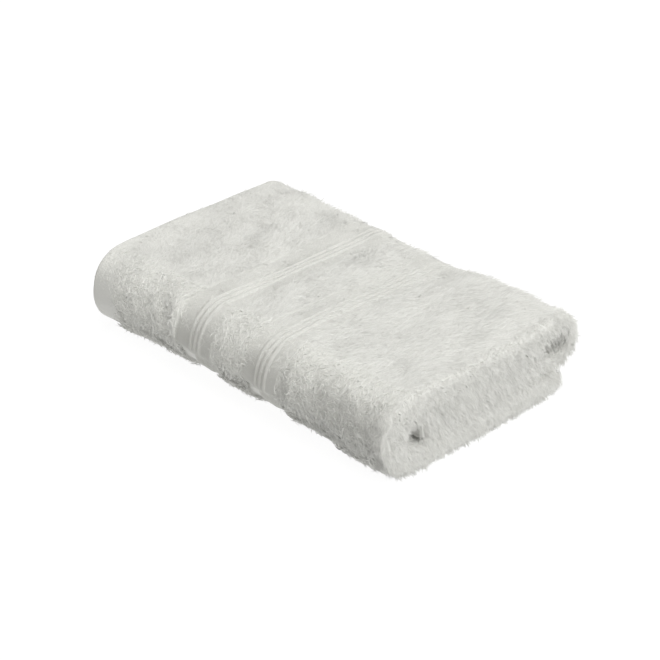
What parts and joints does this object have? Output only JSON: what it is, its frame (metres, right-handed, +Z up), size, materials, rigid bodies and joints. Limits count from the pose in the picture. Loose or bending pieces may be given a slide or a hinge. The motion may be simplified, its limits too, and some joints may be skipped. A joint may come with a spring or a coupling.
{
  "type": "folded hand towel",
  "caption": "Terry hand towel folded in thirds both ways, with woven ribbed borders and a plain woven hem, lying flat.",
  "frame": {"origin": "centre of the outer box in X and Y, at its foot, on the surface that the towel lies on", "axes": "+X along the folded length towards the rounded end, +Y towards the loose far loop, +Z up"},
  "size_m": [0.264, 0.1732, 0.0545],
  "materials": {
    "terry_cotton": "looped cotton pile, matt off-white"
  },
  "bodies": {
    "root": {"towel": "terry_cotton"}
  },
  "joints": []
}
